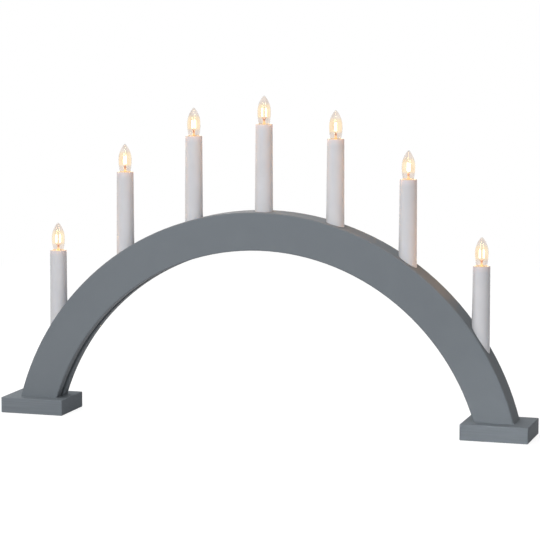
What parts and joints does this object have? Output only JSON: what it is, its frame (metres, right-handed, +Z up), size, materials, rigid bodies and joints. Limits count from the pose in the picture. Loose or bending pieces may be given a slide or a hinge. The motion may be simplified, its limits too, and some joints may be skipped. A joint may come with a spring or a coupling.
{
  "type": "candle arch",
  "caption": "Electric candle arch: a grey painted board arch on two block feet, carrying white candles with clear flame-shaped screw bulbs that glow warm.",
  "frame": {"origin": "on the ground, under the middle of the arch: centre of the bottom of the bounding box", "axes": "+X to the right along the arch, -Y towards the viewer in front, +Z up"},
  "size_m": [0.62, 0.064, 0.3711],
  "materials": {
    "painted_board": "satin paint, fine even grain",
    "candle_white": "smooth, slightly glossy",
    "holder_plastic": "moulded, matt",
    "clear_glass": "clear, polished",
    "glow": "glowing phosphor coat",
    "cap_metal": "nickel plated",
    "contact_brass": "plain",
    "tip_solder": "dull solder bead on a dark insulator",
    "wire_white": "soft insulation, satin",
    "screw_steel": "zinc plated",
    "clip_clear": "milky, satin"
  },
  "bodies": {
    "arch": {"front_board": "painted_board", "core_board": "painted_board", "back_board": "painted_board", "foot_left": "painted_board", "foot_right": "painted_board", "foot_screws": "screw_steel", "shell_contacts": "contact_brass", "centre_contacts": "contact_brass", "jumper_wires": "wire_white", "supply_wires": "wire_white", "wire_splices": "tip_solder", "wire_clips": "clip_clear", "candle_sleeve_1": "candle_white", "lamp_holder_1": "holder_plastic", "candle_sleeve_2": "candle_white", "lamp_holder_2": "holder_plastic", "candle_sleeve_3": "candle_white", "lamp_holder_3": "holder_plastic", "candle_sleeve_4": "candle_white", "lamp_holder_4": "holder_plastic", "candle_sleeve_5": "candle_white", "lamp_holder_5": "holder_plastic", "candle_sleeve_6": "candle_white", "lamp_holder_6": "holder_plastic", "candle_sleeve_7": "candle_white", "lamp_holder_7": "holder_plastic"},
    "bulb_tip_1": {"bulb_contact_1": "tip_solder"},
    "bulb_1": {"bulb_cap_1": "cap_metal", "bulb_glass_1": "clear_glass", "bulb_rods_1": "glow"},
    "bulb_tip_2": {"bulb_contact_2": "tip_solder"},
    "bulb_2": {"bulb_cap_2": "cap_metal", "bulb_glass_2": "clear_glass", "bulb_rods_2": "glow"},
    "bulb_tip_3": {"bulb_contact_3": "tip_solder"},
    "bulb_3": {"bulb_cap_3": "cap_metal", "bulb_glass_3": "clear_glass", "bulb_rods_3": "glow"},
    "bulb_tip_4": {"bulb_contact_4": "tip_solder"},
    "bulb_4": {"bulb_cap_4": "cap_metal", "bulb_glass_4": "clear_glass", "bulb_rods_4": "glow"},
    "bulb_tip_5": {"bulb_contact_5": "tip_solder"},
    "bulb_5": {"bulb_cap_5": "cap_metal", "bulb_glass_5": "clear_glass", "bulb_rods_5": "glow"},
    "bulb_tip_6": {"bulb_contact_6": "tip_solder"},
    "bulb_6": {"bulb_cap_6": "cap_metal", "bulb_glass_6": "clear_glass", "bulb_rods_6": "glow"},
    "bulb_tip_7": {"bulb_contact_7": "tip_solder"},
    "bulb_7": {"bulb_cap_7": "cap_metal", "bulb_glass_7": "clear_glass", "bulb_rods_7": "glow"}
  },
  "joints": [
    {"name": "bulb_lift_1", "type": "slide", "parent": "arch", "child": "bulb_tip_1", "axis": [0, 0, 1], "range_m": [0, 0.0056]},
    {"name": "bulb_turn_1", "type": "hinge", "parent": "bulb_tip_1", "child": "bulb_1", "pos_m": [-0.24964, 0, 0.1891], "axis": [0, 0, 1], "range_deg": [0, 1110]},
    {"name": "bulb_lift_2", "type": "slide", "parent": "arch", "child": "bulb_tip_2", "axis": [0, 0, 1], "range_m": [0, 0.0056]},
    {"name": "bulb_turn_2", "type": "hinge", "parent": "bulb_tip_2", "child": "bulb_2", "pos_m": [-0.16643, 0, 0.28206], "axis": [0, 0, 1], "range_deg": [0, 1110]},
    {"name": "bulb_lift_3", "type": "slide", "parent": "arch", "child": "bulb_tip_3", "axis": [0, 0, 1], "range_m": [0, 0.0056]},
    {"name": "bulb_turn_3", "type": "hinge", "parent": "bulb_tip_3", "child": "bulb_3", "pos_m": [-0.08321, 0, 0.32479], "axis": [0, 0, 1], "range_deg": [0, 1110]},
    {"name": "bulb_lift_4", "type": "slide", "parent": "arch", "child": "bulb_tip_4", "axis": [0, 0, 1], "range_m": [0, 0.0056]},
    {"name": "bulb_turn_4", "type": "hinge", "parent": "bulb_tip_4", "child": "bulb_4", "pos_m": [0, 0, 0.33962], "axis": [0, 0, 1], "range_deg": [0, 1110]},
    {"name": "bulb_lift_5", "type": "slide", "parent": "arch", "child": "bulb_tip_5", "axis": [0, 0, 1], "range_m": [0, 0.0056]},
    {"name": "bulb_turn_5", "type": "hinge", "parent": "bulb_tip_5", "child": "bulb_5", "pos_m": [0.08321, 0, 0.32479], "axis": [0, 0, 1], "range_deg": [0, 1110]},
    {"name": "bulb_lift_6", "type": "slide", "parent": "arch", "child": "bulb_tip_6", "axis": [0, 0, 1], "range_m": [0, 0.0056]},
    {"name": "bulb_turn_6", "type": "hinge", "parent": "bulb_tip_6", "child": "bulb_6", "pos_m": [0.16643, 0, 0.28206], "axis": [0, 0, 1], "range_deg": [0, 1110]},
    {"name": "bulb_lift_7", "type": "slide", "parent": "arch", "child": "bulb_tip_7", "axis": [0, 0, 1], "range_m": [0, 0.0056]},
    {"name": "bulb_turn_7", "type": "hinge", "parent": "bulb_tip_7", "child": "bulb_7", "pos_m": [0.24964, 0, 0.1891], "axis": [0, 0, 1], "range_deg": [0, 1110]}
  ],
  "couplings": [
    {"joint": "bulb_lift_1", "follows": "bulb_turn_1", "m_per_rad": 0.00028876},
    {"joint": "bulb_lift_2", "follows": "bulb_turn_2", "m_per_rad": 0.00028876},
    {"joint": "bulb_lift_3", "follows": "bulb_turn_3", "m_per_rad": 0.00028876},
    {"joint": "bulb_lift_4", "follows": "bulb_turn_4", "m_per_rad": 0.00028876},
    {"joint": "bulb_lift_5", "follows": "bulb_turn_5", "m_per_rad": 0.00028876},
    {"joint": "bulb_lift_6", "follows": "bulb_turn_6", "m_per_rad": 0.00028876},
    {"joint": "bulb_lift_7", "follows": "bulb_turn_7", "m_per_rad": 0.00028876}
  ]
}
